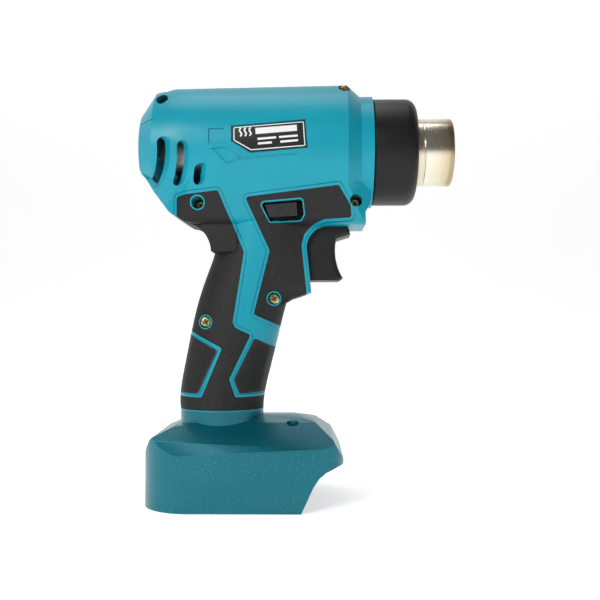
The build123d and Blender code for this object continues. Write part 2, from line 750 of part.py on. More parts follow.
board_t = 1.6
board_y = 1.0
board_tilt = [low(-49.5, 12.0), low(-26.5, 12.0), low(-21.0, 36.0), low(-44.0, 36.0)]
with BuildPart() as board:
    with BuildSketch(Plane.XZ.offset(-board_y)):
        outline(board_tilt)
    extrude(amount=-board_t)
save(board.part, "control_board")
with BuildPart() as heat_sink:
    with BuildSketch(Plane.XZ.offset(-board_y)):
        outline([low(-46.0, 14.0), low(-33.0, 14.0), low(-29.0, 32.0), low(-42.0, 32.0)])
    extrude(amount=7)
    for rise in (16.5, 20.5, 24.5, 28.5):
        with BuildSketch(Plane.XZ.offset(-board_y + 2)):
            with Locations(low(-37.5, rise)):
                Rectangle(40, 2.2)
        extrude(amount=6, mode=Mode.SUBTRACT)
save(heat_sink.part, "heat_sink")
with BuildPart() as transistors:
    for rise in (17.0, 26.0):
        with BuildSketch(Plane.XZ.offset(-board_y - board_t)):
            with Locations(low(-41.0, rise)):
                Rectangle(8, 6.4)
        extrude(amount=-3)
save(transistors.part, "power_transistors")
with BuildPart() as capacitor:
    with BuildSketch(Plane.XZ.offset(-board_y - board_t)):
        with Locations(low(-30.5, 22.0)):
            Circle(4.0)
    extrude(amount=-8)
save(capacitor.part, "capacitor")

# ---------------------------------------------------------------- foot for the battery
foot_side = [
    (foot_rear_x, -10.0), (foot_rear_x, 25.0), (foot_rear_x + 4.5, 33.5), (foot_rear_x + 14, 38.0),
    (foot_rear_x + 30, 40.2), (-15.0, foot_crown), (0.0, foot_crown), (10.5, foot_crown - 2.6),
    (19.0, foot_crown - 9.4), (foot_front_x, foot_crown - 18.6), (foot_front_x, -10.0),
]
roof_half = [(foot_half + 3.0, -10.0), (foot_half + 3.0, 28.1), (foot_half - 21.5, 39.8),
             (4.0, foot_crown)]
flank_half = [(foot_half + 0.8, -14.0), (foot_half - 0.8, 24.8), (foot_half - 20.0, 46.0)]
flank_rise = 0.05               # the flank's upper edge climbs towards the nose
front_notch = [
    (foot_front_x + 9, -2.0), (2.9, -2.0), (9.7, 12.5), (12.4, 16.4), (15.6, 18.9), (21.0, 20.9),
    (foot_front_x + 9, 23.5),
]


def foot(depth):
    """The roofed foot as a solid, moved inwards by a depth."""
    with BuildPart() as body:
        with BuildSketch(Plane.XZ) as side:
            outline(foot_side)
            fillet(side.vertices().group_by(Axis.Y)[1:], 3.5)
            inset(depth)
        extrude(amount=foot_half + 5, both=True)
        with BuildSketch(Plane.YZ) as across:
            outline(roof_half + [(-y, z) for y, z in reversed(roof_half)])
            fillet(across.vertices().group_by(Axis.Y)[2:], 3.5)
            inset(depth)
        extrude(amount=120, both=True, mode=Mode.INTERSECT)
        with BuildSketch(Plane.YZ.offset(-90.0)) as across:
            outline(flank_half + [(-y, z) for y, z in reversed(flank_half)])
            inset(depth)
        extrude(amount=140, dir=(1, 0, flank_rise), mode=Mode.INTERSECT)
        with BuildSketch(Plane.XY.offset(-10)) as above:
            with Locations(((foot_rear_x + foot_front_x) / 2, 0)):
                Rectangle(foot_front_x - foot_rear_x, 2 * foot_half)
            fillet(above.vertices().group_by(Axis.X)[0], 24.0)
            fillet(above.vertices().group_by(Axis.X)[-1], 15.0)
            inset(depth)
        extrude(amount=70, mode=Mode.INTERSECT)
    return body.part


collar_rear, collar_front, collar_half = grip_sections[0][1:]
collar_mid = (collar_rear + collar_front) / 2
collar_a = (collar_front - collar_rear) / 2
spigot_in = wall + slip + 0.5     # the handle narrows above its foot
spigot_rise = 7.0
spigot_t = 2.0
post_r = 3.4
post_places = [(-56.0, 21.0), (-56.0, -21.0), (-8.5, 20.0), (-8.5, -20.0)]
hook_place = (-0.5, 16.0)
hook_r = 3.0
hook_depth = 9.0

foot_solid = foot(0)
with BuildPart() as base:
    add(foot_solid)
    with BuildSketch(Plane.XY.offset(30.0)):
        with Locations((collar_mid, 0)):
            Ellipse(collar_a, collar_half)
    extrude(amount=joint_z - 30.0)
    add(foot(foot_wall), mode=Mode.SUBTRACT)
    with BuildSketch(Plane.XY.offset(joint_z)):
        with Locations((collar_mid, 0)):
            Ellipse(collar_a - spigot_in, collar_half - spigot_in)
    extrude(amount=spigot_rise)
    with BuildSketch(Plane.XY.offset(30.0)):
        with Locations((collar_mid, 0)):
            Ellipse(collar_a - spigot_in - spigot_t, collar_half - spigot_in - spigot_t)
    extrude(amount=joint_z - 30.0 + spigot_rise, mode=Mode.SUBTRACT)
with BuildPart() as posts:
    with BuildSketch(Plane.XY.offset(plate_z + plate_t)):
        with Locations(*post_places):
            Circle(post_r)
    extrude(amount=40)
    with BuildSketch(Plane.XY.offset(foot_crown - 4 - hook_depth)):
        with Locations(hook_place, (hook_place[0], -hook_place[1])):
            Circle(hook_r + 2)
    extrude(amount=40)
with BuildPart() as foot_holes:
    with BuildSketch(Plane.XY.offset(plate_z)):
        with Locations(*post_places):
            Circle(screw_r)
    extrude(amount=plate_t + 8)
    with BuildSketch(Plane.XY.offset(foot_crown - 3 - hook_depth)):
        with Locations(hook_place, (hook_place[0], -hook_place[1])):
            Circle(hook_r)
    extrude(amount=30)
with BuildPart() as below_ground:
    with BuildSketch(Plane.XY):
        Rectangle(400, 400)
    extrude(amount=-20)
base_whole = (base.part + (posts.part & foot(1.0))) - foot_holes.part
base_whole = base_whole - side_prism(front_notch) - below_ground.part
save(base_whole, "battery_base")

# ---------------------------------------------------------------- rails and terminals
rail_gap = 0.4
rail_half = 30.0
rail_web = 3.0
lip_reach = 3.5
lip_t = 2.5
lip_z = 6.5
rail_rear_x = -60.0
rail_front_x = 3.0
block_rear_x = -64.0
block_front_x = -50.0
block_half = 17.0
block_low = 8.0
stub = (-61.0, -54.0, 14.0)       # rear, front and half width of the block's tail through the plate
blade_y = 10.0
blade_t = 0.8
blade_front_x = -36.0

with BuildPart() as plate:
    with BuildSketch(Plane.XY.offset(plate_z)) as above:
        with Locations(((foot_rear_x + rail_front_x) / 2 + 2, 0)):
            Rectangle(rail_front_x - foot_rear_x - 2 * foot_wall, 2 * foot_half)
        fillet(above.vertices().group_by(Axis.X)[0], 21.0)
    extrude(amount=plate_t)
    add(foot(foot_wall + rail_gap), mode=Mode.INTERSECT)
    for side in (1, -1):
        with BuildSketch(Plane.YZ.offset(rail_rear_x)):
            outline([(side * rail_half, plate_z), (side * rail_half, lip_z),
                     (side * (rail_half - rail_web - lip_reach), lip_z),
                     (side * (rail_half - rail_web - lip_reach), lip_z + lip_t),
                     (side * (rail_half - rail_web), lip_z + lip_t),
                     (side * (rail_half - rail_web), plate_z)])
        extrude(amount=rail_front_x - rail_rear_x)
    with BuildSketch(Plane.XY.offset(plate_z)):
        with Locations(((stub[0] + stub[1]) / 2, 0)):
            Rectangle(stub[1] - stub[0] + 2 * slip, 2 * (stub[2] + slip))
        with Locations(*post_places):
            Circle(screw_r)
    extrude(amount=plate_t, mode=Mode.SUBTRACT)
save(plate.part, "rail_plate")
save(screw_group(post_places, Plane.XY.offset(plate_z).rotated((180, 0, 0)), 10.0, screw_r,
                 screw_head_r, 1.6), "rail_screws")

blade_low = block_low + 2.0
blade_high = plate_z - 3.0
tail_front_x = -56.0
tail_rear_x = -59.0
tail_top = plate_z + plate_t + 7.0
with BuildPart() as blades:
    for y in (blade_y, -blade_y):
        with BuildSketch(Plane.XZ.offset(-y - blade_t / 2)):
            outline([(tail_rear_x, blade_low), (blade_front_x - 1.5, blade_low),
                     (blade_front_x, blade_low + 1.5), (blade_front_x, blade_high - 1.5),
                     (blade_front_x - 1.5, blade_high), (tail_front_x, blade_high),
                     (tail_front_x, tail_top), (tail_rear_x, tail_top)])
        extrude(amount=blade_t)
save(blades.part, "terminal_blades")
with BuildPart() as block:
    with BuildSketch(Plane.XY.offset(block_low)):
        with Locations(((block_rear_x + block_front_x) / 2, 0)):
            Rectangle(block_front_x - block_rear_x, 2 * block_half)
    extrude(amount=plate_z - block_low)
    chamfer(block.edges().group_by(Axis.Z)[0], 0.8)
    with BuildSketch(Plane.XY.offset(plate_z)):
        with Locations(((stub[0] + stub[1]) / 2, 0)):
            Rectangle(stub[1] - stub[0], 2 * stub[2])
    extrude(amount=plate_t + 3)
    add(blades.part, mode=Mode.SUBTRACT)
save(block.part, "terminal_block")


# ---------------------------------------------------------------- leads inside the housing
def lead(points, radius):
    """A wire through the points, each corner rounded as far as its two runs allow."""
    spots = [Vector(*p) for p in points]
    radii = []
    for before, at, after in zip(spots, spots[1:], spots[2:]):
        turn = (at - before).get_angle(after - at)
        shorter = min((at - before).length, (after - at).length)
        radii.append(0.45 * shorter * cos(radians(turn / 2)) / sin(radians(turn / 2)))
    with BuildPart() as wire:
        with BuildLine():
            path = FilletPolyline(*spots, radius=radii)
        with BuildSketch(Plane(origin=path @ 0, z_dir=path % 0)):
            Circle(radius)
        sweep()
    print("lead radii", [round(r, 1) for r in radii])
    return wire.part


def lead_pair(right, left, radius, name):
    with BuildPart() as pair:
        add(lead(right, radius))
        add(lead(left, radius))
    save(pair.part, name)


lead_r = 0.9
lead_gap = 0.4              # solder joint between a lead and what it feeds
board_mid = board_y + board_t / 2
board_foot = joint_z + 12.0 - lead_gap
board_head = joint_z + 36.0 + lead_gap
switch_low = switch_top - switch_height - lead_gap
wire_z = axis_z - 18.64
lead_pair(
    [(tail_front_x + lead_gap, -blade_y, 27.0), (-48.0, -8.0, 28.5), (-43.5, -3.0, 42.0),
     (-44.0, board_mid, board_foot)],
    [(tail_front_x + lead_gap, blade_y, 27.0), (-46.0, 8.5, 28.5), (-36.0, 5.0, 42.0),
     (-34.0, board_mid, board_foot)], lead_r, "battery_leads")
lead_pair(
    [(-38.0, board_mid, board_head), (-36.0, -3.0, board_head + 13), (-30.0, -7.0, axis_z - 58),
     (-31.0, -7.5, axis_z - 38), (-38.0, -6.0, axis_z - 22), (-54.0, -4.5, axis_z - 21.5),
     (-57.0, -3.0, axis_z - motor_r - 0.2)],
    [(-33.5, board_mid, board_head), (-33.5, 5.0, board_head + 13), (-30.0, 8.0, axis_z - 58),
     (-31.0, 8.0, axis_z - 38), (-38.0, 6.0, axis_z - 22), (-54.0, 4.5, axis_z - 21.5),
     (-57.0, 3.0, axis_z - motor_r - 0.2)], lead_r, "motor_leads")
lead_pair(
    [(-28.5, board_mid, board_head), (-26.0, -3.0, board_head + 11), (-18.5, -4.5, switch_low - 6),
     (-17.0, -4.0, switch_low)],
    [(-24.0, board_mid, board_head), (-21.0, 3.5, board_head + 10), (-15.5, 5.0, switch_low - 7),
     (-14.0, 4.0, switch_low)], lead_r, "switch_leads")
lead_pair(
    [(-4.0, -4.0, switch_top + lead_gap), (-3.0, -6.0, axis_z - 32.5), (10.0, -7.5, axis_z - 31.5),
     (23.5, -6.5, axis_z - 22.3), (33.0, -5.0, wire_z), (disc_back_x, -5.0, wire_z)],
    [(-4.0, 4.0, switch_top + lead_gap), (-3.0, 6.0, axis_z - 32.5), (10.0, 7.5, axis_z - 31.5),
     (23.5, 6.5, axis_z - 22.3), (33.0, 5.0, wire_z), (disc_back_x, 5.0, wire_z)],
    lead_r, "heater_leads")
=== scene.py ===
import json
import math

import bmesh
import bpy
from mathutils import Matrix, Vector
from mathutils.bvhtree import BVHTree


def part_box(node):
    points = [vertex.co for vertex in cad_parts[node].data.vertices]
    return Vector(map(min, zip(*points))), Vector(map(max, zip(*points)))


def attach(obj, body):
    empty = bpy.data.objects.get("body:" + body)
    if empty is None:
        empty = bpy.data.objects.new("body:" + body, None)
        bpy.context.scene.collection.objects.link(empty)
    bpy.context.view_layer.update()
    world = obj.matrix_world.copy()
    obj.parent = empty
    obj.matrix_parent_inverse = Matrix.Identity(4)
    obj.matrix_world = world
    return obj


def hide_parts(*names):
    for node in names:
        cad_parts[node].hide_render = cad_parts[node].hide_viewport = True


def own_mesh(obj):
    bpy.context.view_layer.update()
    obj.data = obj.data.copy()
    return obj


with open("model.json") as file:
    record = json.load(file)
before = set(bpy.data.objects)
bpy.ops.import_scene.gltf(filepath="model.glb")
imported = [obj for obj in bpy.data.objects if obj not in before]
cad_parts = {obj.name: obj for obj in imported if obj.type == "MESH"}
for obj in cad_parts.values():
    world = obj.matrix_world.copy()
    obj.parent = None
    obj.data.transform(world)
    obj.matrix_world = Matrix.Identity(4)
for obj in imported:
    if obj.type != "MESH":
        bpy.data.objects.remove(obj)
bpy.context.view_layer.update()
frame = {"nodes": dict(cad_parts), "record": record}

bl_info = {
    "name": "Cordless heat gun",
    "version": (1, 0, 0),
    "blender": (4, 5, 0),
    "location": "View3D > Sidebar > Heat gun",
    "description": "Finishes the pieces of a cordless heat gun and sets it on a studio floor",
    "category": "Object",
}

MM = 0.001


# ---------------------------------------------------------------- places read from the frame
def low_high(node):
    low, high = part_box(node)
    return Vector(low), Vector(high)


def middle(node):
    low, high = low_high(node)
    return (low + high) / 2


TUBE_LOW, TUBE_HIGH = low_high("nozzle_tube")
AXIS_Z = (TUBE_LOW.z + TUBE_HIGH.z) / 2
SLEEVE_LOW, SLEEVE_HIGH = low_high("front_sleeve")
SCREW_LOW, SCREW_HIGH = low_high("housing_screws")
PLATE_MID = middle("nameplate_right")
GUIDE_MID = middle("selector_bar")
SCREW_HEAD_R = 2.7 * MM


# ---------------------------------------------------------------- sizes and colours to change
class ShellSettings(bpy.types.PropertyGroup):
    """Colours and texture of the moulded casings."""

    shell_colour: bpy.props.FloatVectorProperty(
        name="Housing colour", description="Moulded colour of the two housing halves",
        subtype="COLOR", size=3, min=0, max=1, default=(0.0, 0.30, 0.40))
    foot_colour: bpy.props.FloatVectorProperty(
        name="Foot colour", description="Moulded colour of the foot, a shade darker",
        subtype="COLOR", size=3, min=0, max=1, default=(0.0, 0.15, 0.20))
    rubber_colour: bpy.props.FloatVectorProperty(
        name="Grip colour", description="Colour of the moulded-on rubber",
        subtype="COLOR", size=3, min=0, max=1, default=(0.010, 0.010, 0.0105))
    edge_round: bpy.props.FloatProperty(
        name="Edge rounding", description="Radius broken on the moulded edges",
        subtype="DISTANCE", default=0.35 * MM, min=0.05 * MM, max=1.0 * MM, precision=5)


# ---------------------------------------------------------------- material helpers
def new_material(name):
    material = bpy.data.materials.new(name)
    material.use_nodes = True
    tree = material.node_tree
    tree.nodes.clear()
    output = tree.nodes.new("ShaderNodeOutputMaterial")
    shader = tree.nodes.new("ShaderNodeBsdfPrincipled")
    tree.links.new(shader.outputs["BSDF"], output.inputs["Surface"])
    return material, tree, shader


def new_group(name, inputs, outputs):
    """An empty shader node group with named inputs (name, kind, default) and outputs (name, kind)."""
    group = bpy.data.node_groups.new(name, "ShaderNodeTree")
    for label, kind, default in inputs:
        socket = group.interface.new_socket(label, in_out="INPUT", socket_type=kind)
        socket.default_value = default
    for label, kind in outputs:
        group.interface.new_socket(label, in_out="OUTPUT", socket_type=kind)
    start = group.nodes.new("NodeGroupInput")
    end = group.nodes.new("NodeGroupOutput")
    return group, start, end


def node(tree, kind, **values):
    made = tree.nodes.new(kind)
    for key, value in values.items():
        if key.startswith("in_"):
            made.inputs[key[3:].replace("_", " ")].default_value = value
        else:
            setattr(made, key, value)
    return made


FLOAT, COLOUR, VECTOR = "NodeSocketFloat", "NodeSocketColor", "NodeSocketVector"


def moulded_grain():
    """Fine spark texture of an injection mould: colour, roughness and normal."""
    name = "Moulded grain"
    if name in bpy.data.node_groups:
        return bpy.data.node_groups[name]
    group, start, end = new_group(
        name,
        [("Colour", COLOUR, (0.5, 0.5, 0.5, 1)), ("Fleck", COLOUR, (1, 1, 1, 1)),
         ("Fleck amount", FLOAT, 0.1), ("Grain size", FLOAT, 2500.0), ("Depth", FLOAT, 0.1),
         ("Roughness", FLOAT, 0.4), ("Roughness spread", FLOAT, 0.1)],
        [("Colour", COLOUR), ("Roughness", FLOAT), ("Normal", VECTOR)])
    links = group.links
    place = node(group, "ShaderNodeTexCoord")
    fine = node(group, "ShaderNodeTexNoise", in_Detail=3.0, in_Roughness=0.6)
    links.new(place.outputs["Object"], fine.inputs["Vector"])
    links.new(start.outputs["Grain size"], fine.inputs["Scale"])
    broad = node(group, "ShaderNodeTexNoise", in_Scale=35.0, in_Detail=4.0)
    links.new(place.outputs["Object"], broad.inputs["Vector"])
    fleck = node(group, "ShaderNodeMapRange", in_From_Min=0.58, in_From_Max=0.7)
    links.new(fine.outputs["Fac"], fleck.inputs["Value"])
    amount = node(group, "ShaderNodeMath", operation="MULTIPLY")
    links.new(fleck.outputs["Result"], amount.inputs[0])
    links.new(start.outputs["Fleck amount"], amount.inputs[1])
    mixed = node(group, "ShaderNodeMix", data_type="RGBA")
    links.new(amount.outputs[0], mixed.inputs["Factor"])
    links.new(start.outputs["Colour"], mixed.inputs["A"])
    links.new(start.outputs["Fleck"], mixed.inputs["B"])
    shade = node(group, "ShaderNodeMapRange", in_From_Min=0.3, in_From_Max=0.7, in_To_Min=0.93,
                 in_To_Max=1.05)
    links.new(broad.outputs["Fac"], shade.inputs["Value"])
    toned = node(group, "ShaderNodeMix", data_type="RGBA", blend_type="MULTIPLY")
    toned.inputs["Factor"].default_value = 1.0
    links.new(mixed.outputs["Result"], toned.inputs["A"])
    links.new(shade.outputs["Result"], toned.inputs["B"])
    links.new(toned.outputs["Result"], end.inputs["Colour"])
    spread = node(group, "ShaderNodeMath", operation="MULTIPLY_ADD")
    centred = node(group, "ShaderNodeMath", operation="SUBTRACT")
    centred.inputs[1].default_value = 0.5
    links.new(broad.outputs["Fac"], centred.inputs[0])
    links.new(centred.outputs[0], spread.inputs[0])
    links.new(start.outputs["Roughness spread"], spread.inputs[1])
    links.new(start.outputs["Roughness"], spread.inputs[2])
    links.new(spread.outputs[0], end.inputs["Roughness"])
    bump = node(group, "ShaderNodeBump", in_Distance=0.00005)
    links.new(start.outputs["Depth"], bump.inputs["Strength"])
    links.new(fine.outputs["Fac"], bump.inputs["Height"])
    links.new(bump.outputs["Normal"], end.inputs["Normal"])
    return group


def grained(name, colour, roughness, depth=0.2, size=2500.0, fleck=(1, 1, 1), amount=0.0,
            metallic=0.0, spread=0.12, coat=0.0, specular=0.5):
    """A moulded plastic, rubber or metal finish built on the grain group."""
    material, tree, shader = new_material(name)
    group = tree.nodes.new("ShaderNodeGroup")
    group.node_tree = moulded_grain()
    group.inputs["Colour"].default_value = (*colour, 1)
    group.inputs["Fleck"].default_value = (*fleck, 1)
    group.inputs["Fleck amount"].default_value = amount
    group.inputs["Grain size"].default_value = size
    group.inputs["Depth"].default_value = depth
    group.inputs["Roughness"].default_value = roughness
    group.inputs["Roughness spread"].default_value = spread
    for socket, target in (("Colour", "Base Color"), ("Roughness", "Roughness"), ("Normal", "Normal")):
        tree.links.new(group.outputs[socket], shader.inputs[target])
    shader.inputs["Metallic"].default_value = metallic
    shader.inputs["Coat Weight"].default_value = coat
    shader.inputs["Specular IOR Level"].default_value = specular
    material.diffuse_color = (*colour, 1)
    return material


# ---------------------------------------------------------------- mesh helpers
def finish_piece(piece, body, stands_for=(), material=None):
    """Gives a piece its material, the body it rides on and the nodes it stands for."""
    if material is not None:
        piece.data.materials.clear()
        piece.data.materials.append(material)
    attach(piece, body)
    if stands_for:
        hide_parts(*stands_for)
    return piece


def link_mesh(bm, name):
    mesh = bpy.data.meshes.new(name)
    bm.to_mesh(mesh)
    bm.free()
    piece = bpy.data.objects.new(name, mesh)
    bpy.context.scene.collection.objects.link(piece)
    return piece


def soften(bm, angle_deg):
    """Smooth shading, with the edges sharper than the angle kept crisp."""
    limit = math.radians(angle_deg)
    for face in bm.faces:
        face.smooth = True
    for edge in bm.edges:
        edge.smooth = len(edge.link_faces) == 2 and edge.calc_face_angle(0.0) < limit


def merged_copy(source, name, round_edges=0.0, angle=28.0, segments=2):
    """A joined-up copy of a CAD node, its sharp edges rounded by a live bevel."""
    bm = bmesh.new()
    bm.from_mesh(frame["nodes"][source].data)
    bmesh.ops.remove_doubles(bm, verts=bm.verts, dist=2e-6)
    bmesh.ops.dissolve_degenerate(bm, edges=bm.edges, dist=1e-6)
    bmesh.ops.dissolve_limit(bm, angle_limit=math.radians(0.3), verts=bm.verts, edges=bm.edges)
    soften(bm, angle)
    piece = link_mesh(bm, name)
    if round_edges:
        bevel = piece.modifiers.new("Rounded edges", "BEVEL")
        bevel.width = round_edges
        bevel.segments = segments
        bevel.limit_method = "ANGLE"
        bevel.angle_limit = math.radians(angle)
        bevel.use_clamp_overlap = True
        bevel.harden_normals = True
    return piece


def spun(profile, name, angle=30.0, steps=128):
    """A closed profile of (x, radius) points turned round the nozzle axis."""
    bm = bmesh.new()
    ring = [bm.verts.new((x, 0.0, AXIS_Z + radius)) for x, radius in profile]
    edges = [bm.edges.new((a, b)) for a, b in zip(ring, ring[1:] + ring[:1])]
    bmesh.ops.spin(bm, geom=ring + edges, cent=(0, 0, AXIS_Z), axis=(1, 0, 0), angle=math.tau,
                   steps=steps, use_merge=True, use_duplicate=False)
    bmesh.ops.remove_doubles(bm, verts=bm.verts, dist=1e-7)
    bmesh.ops.recalc_face_normals(bm, faces=bm.faces)
    soften(bm, angle)
    return link_mesh(bm, name)


def skin_of(node):
    """A search tree over a CAD node's surface."""
    bm = bmesh.new()
    bm.from_mesh(frame["nodes"][node].data)
    tree = BVHTree.FromBMesh(bm)
    bm.free()
    return tree


def on_skin(tree, x, z, side):
    """Where a line from one side meets the surface, and the surface's direction there."""
    spot, normal, _, _ = tree.ray_cast(Vector((x, side * 0.2, z)), Vector((0, -side, 0)))
    return (None, None) if spot is None else (spot, normal)


def printed(tree, side, strokes, name, lift=0.03 * MM):
    """Strokes (side-view points, width) laid on a surface as a thin raised print."""
    bm = bmesh.new()
    for points, width in strokes:
        path = []
        for (ax, az), (bx, bz) in zip(points, points[1:]):
            count = max(1, round(math.hypot(bx - ax, bz - az) / (0.6 * MM)))
            path += [(ax + (bx - ax) * k / count, az + (bz - az) * k / count) for k in range(count)]
        path.append(points[-1])
        rows = []
        for k, (x, z) in enumerate(path):
            before, after = path[max(k - 1, 0)], path[min(k + 1, len(path) - 1)]
            run = Vector((after[0] - before[0], after[1] - before[1])).normalized()
            row = []
            for share in (-0.5, -0.17, 0.17, 0.5):
                spot, normal = on_skin(tree, x - run.y * width * share, z + run.x * width * share, side)
                row.append(None if spot is None else bm.verts.new(spot + normal * lift))
            rows.append(row)
        for one, two in zip(rows, rows[1:]):
            for k in range(3):
                corners = (one[k], one[k + 1], two[k + 1], two[k])
                if None not in corners:
                    bm.faces.new(corners)
    bmesh.ops.recalc_face_normals(bm, faces=bm.faces)
    bmesh.ops.solidify(bm, geom=list(bm.faces), thickness=lift)
    for face in bm.faces:
        face.smooth = False
    return link_mesh(bm, name)


# ---------------------------------------------------------------- finishes by record slot
def tinted_steel():
    """Bright steel with straw and brown heat bands round the axis."""
    material, tree, shader = new_material("Nozzle steel")
    place = node(tree, "ShaderNodeTexCoord")
    split = node(tree, "ShaderNodeSeparateXYZ")
    tree.links.new(place.outputs["Object"], split.inputs[0])
    along = node(tree, "ShaderNodeMapRange", in_From_Min=SLEEVE_HIGH.x, in_From_Max=TUBE_HIGH.x)
    tree.links.new(split.outputs["X"], along.inputs["Value"])
    cloud = node(tree, "ShaderNodeTexNoise", in_Scale=90.0, in_Detail=5.0)
    tree.links.new(place.outputs["Object"], cloud.inputs["Vector"])
    shift = node(tree, "ShaderNodeMath", operation="MULTIPLY_ADD")
    shift.inputs[1].default_value = 0.22
    tree.links.new(cloud.outputs["Fac"], shift.inputs[0])
    tree.links.new(along.outputs["Result"], shift.inputs[2])
    ramp = node(tree, "ShaderNodeValToRGB")
    stops = ((0.0, (0.30, 0.25, 0.16)), (0.12, (0.62, 0.56, 0.42)), (0.4, (0.80, 0.76, 0.64)),
             (0.7, (0.74, 0.68, 0.52)), (0.95, (0.60, 0.50, 0.33)), (1.0, (0.42, 0.33, 0.2)))
    while len(ramp.color_ramp.elements) < len(stops):
        ramp.color_ramp.elements.new(0.5)
    for element, (at, colour) in zip(ramp.color_ramp.elements, stops):
        element.position = at
        element.color = (*colour, 1)
    tree.links.new(shift.outputs[0], ramp.inputs["Fac"])
    tree.links.new(ramp.outputs["Color"], shader.inputs["Base Color"])
    rolled = node(tree, "ShaderNodeTexNoise", in_Scale=220.0, in_Detail=3.0)
    stretch = node(tree, "ShaderNodeMapping")
    stretch.inputs["Scale"].default_value = (14.0, 1.0, 1.0)
    tree.links.new(place.outputs["Object"], stretch.inputs["Vector"])
    tree.links.new(stretch.outputs["Vector"], rolled.inputs["Vector"])
    rough = node(tree, "ShaderNodeMapRange", in_To_Min=0.14, in_To_Max=0.34)
    tree.links.new(rolled.outputs["Fac"], rough.inputs["Value"])
    tree.links.new(rough.outputs["Result"], shader.inputs["Roughness"])
    shader.inputs["Metallic"].default_value = 1.0
    return material


def slot_finishes():
    shell = bpy.context.scene.heat_gun_shell
    return {
        "housing_teal": grained("Teal housing", tuple(shell.shell_colour), 0.38, 0.3, 1800.0,
                                specular=0.35),
        "foot_teal": grained("Dark teal foot", tuple(shell.foot_colour), 0.33, 0.5, 1500.0,
                             fleck=(0.04, 0.42, 0.50), amount=0.45, metallic=0.45, coat=0.1),
        "grip_rubber": grained("Grip rubber", tuple(shell.rubber_colour), 0.62, 0.55, 2000.0,
                               fleck=(0.09, 0.09, 0.09), amount=0.4, specular=0.35),
        "knurled_rubber": grained("Knurled rubber", tuple(shell.rubber_colour), 0.6, 0.2, 2000.0),
        "nameplate_print": grained("Nameplate black", (0.01, 0.01, 0.012), 0.3, 0.03, 900.0),
        "sleeve_plastic": grained("Sleeve plastic", (0.006, 0.006, 0.0065), 0.42, 0.2, 1800.0,
                                  specular=0.3),
        "nozzle_steel": tinted_steel(),
        "mica": grained("Mica", (0.55, 0.49, 0.38), 0.5, 0.2, 900.0, fleck=(0.8, 0.75, 0.6),
                        amount=0.3),
        "heater_wire": grained("Heater wire", (0.35, 0.33, 0.31), 0.45, 0.1, 900.0, metallic=1.0),
        "ceramic": grained("Ceramic", (0.75, 0.71, 0.62), 0.6, 0.2, 900.0),
        "print_white": grained("White print", (0.8, 0.8, 0.8), 0.45, 0.02, 900.0),
        "recess_dark": grained("Recess shadow", (0.03, 0.022, 0.01), 0.6, 0.02, 900.0),
        "inner_plastic": grained("Inner black plastic", (0.02, 0.02, 0.022), 0.5, 0.2, 1800.0),
        "duct_plastic": grained("Duct plastic", (0.42, 0.40, 0.34), 0.55, 0.2, 1800.0),
        "fan_plastic": grained("Fan plastic", (0.04, 0.04, 0.045), 0.45, 0.2, 1800.0),
        "shaft_steel": grained("Ground steel", (0.6, 0.6, 0.6), 0.25, 0.05, 900.0, metallic=1.0),
        "motor_steel": grained("Motor steel", (0.5, 0.5, 0.48), 0.35, 0.08, 900.0, metallic=1.0),
        "trigger_plastic": grained("Trigger plastic", (0.008, 0.008, 0.008), 0.45, 0.15, 2200.0,
                                   specular=0.35),
        "selector_plastic": grained("Selector plastic", (0.012, 0.012, 0.013), 0.4, 0.15, 2200.0),
        "board_laminate": grained("Board laminate", (0.01, 0.11, 0.04), 0.35, 0.1, 1200.0),
        "heat_sink_aluminium": grained("Heat sink aluminium", (0.75, 0.75, 0.76), 0.3, 0.1, 900.0,
                                       metallic=1.0),
        "screw_zinc": grained("Yellow zinc", (0.62, 0.46, 0.20), 0.3, 0.08, 1500.0, metallic=1.0,
                              fleck=(0.45, 0.5, 0.35), amount=0.4),
        "rail_plastic": grained("Rail plastic", (0.014, 0.014, 0.015), 0.45, 0.2, 1800.0),
        "contact_brass": grained("Contact brass", (0.75, 0.58, 0.28), 0.25, 0.05, 900.0,
                                 metallic=1.0),
        "lead_insulation": grained("Lead insulation", (0.30, 0.015, 0.015), 0.5, 0.1, 1800.0),
    }


def material_for(slot):
    name_of = bpy.context.scene.get("heat_gun_materials")
    return bpy.data.materials[name_of[slot]]


class HEATGUN_OT_finishes(bpy.types.Operator):
    """Make the finishes and give every frame node the one for its slot"""
    bl_idname = "heatgun.finishes"
    bl_label = "Finishes"

    def execute(self, context):
        made = slot_finishes()
        context.scene["heat_gun_materials"] = {slot: m.name for slot, m in made.items()}
        for row in frame["record"]["subparts"]:
            piece = frame["nodes"][row["node"]]
            piece.data.materials.clear()
            piece.data.materials.append(made[row["material_slot"]])
        return {"FINISHED"}


class HEATGUN_OT_casings(bpy.types.Operator):
    """Housing halves and foot, with every moulded edge broken"""
    bl_idname = "heatgun.casings"
    bl_label = "Housing and foot"

    def execute(self, context):
        width = context.scene.heat_gun_shell.edge_round
        for source, slot in (("housing_right", "housing_teal"), ("housing_left", "housing_teal"),
                             ("battery_base", "foot_teal")):
            piece = merged_copy(source, source + "_moulding", width)
            finish_piece(piece, "root", (source,), material_for(slot))
        return {"FINISHED"}


class HEATGUN_OT_rubber(bpy.types.Operator):
    """Rubber grips moulded on to the handle"""
    bl_idname = "heatgun.rubber"
    bl_label = "Rubber grips"

    def execute(self, context):
        width = context.scene.heat_gun_shell.edge_round
        for side in ("right", "left"):
            for pad, slot in (("rear_grip", "grip_rubber"), ("front_grip", "grip_rubber"),
                              ("rear_pad", "knurled_rubber"), ("front_pad", "knurled_rubber")):
                source = f"{pad}_{side}"
                piece = merged_copy(source, source + "_skin", width)
                finish_piece(piece, "root", (source,), material_for(slot))
        return {"FINISHED"}


